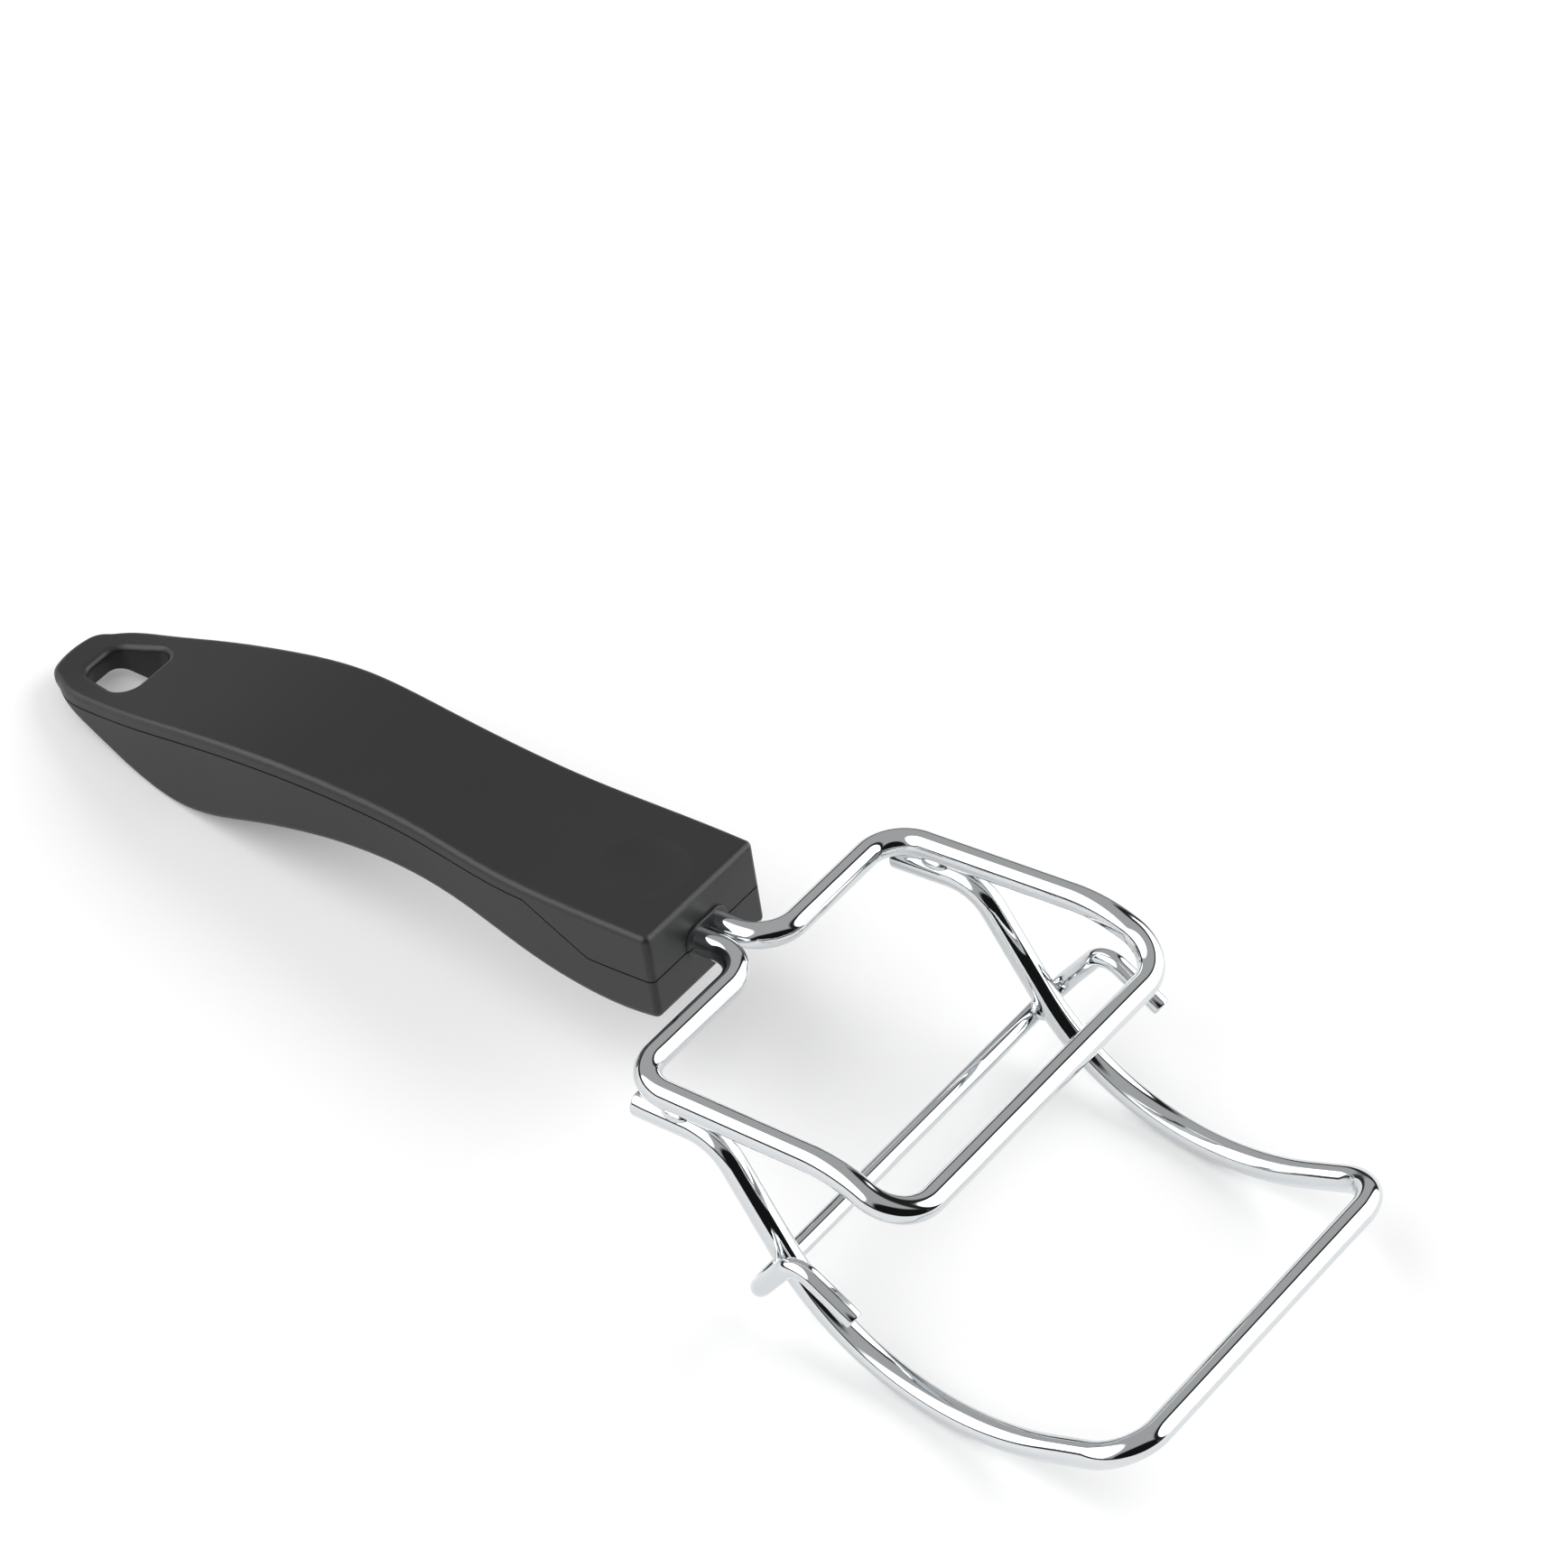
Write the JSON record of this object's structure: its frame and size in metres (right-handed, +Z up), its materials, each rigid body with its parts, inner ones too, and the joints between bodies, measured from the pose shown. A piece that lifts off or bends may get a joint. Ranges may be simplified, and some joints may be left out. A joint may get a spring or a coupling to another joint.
{
  "type": "jar lifter",
  "caption": "Kitchen jar lifter: moulded black handle holding chromed wire jaws that close round a preserving jar's neck.",
  "frame": {"origin": "centre of the bounding box's bottom face, on the table that the tool lies on", "axes": "+X from the handle towards the jaws, +Y to the tool's left, +Z up from the table"},
  "size_m": [0.2624, 0.099, 0.0445],
  "materials": {
    "handle_plastic": "satin",
    "chromed_wire": "polished",
    "screw_steel": "satin",
    "weld_metal": "satin"
  },
  "bodies": {
    "root": {"handle_top_shell": "handle_plastic", "handle_bottom_shell": "handle_plastic", "handle_screws": "screw_steel", "frame_wire": "chromed_wire", "bail_wire": "chromed_wire", "cross_bar": "chromed_wire", "bail_weld_beads": "weld_metal", "bar_weld_beads": "weld_metal"}
  },
  "joints": []
}
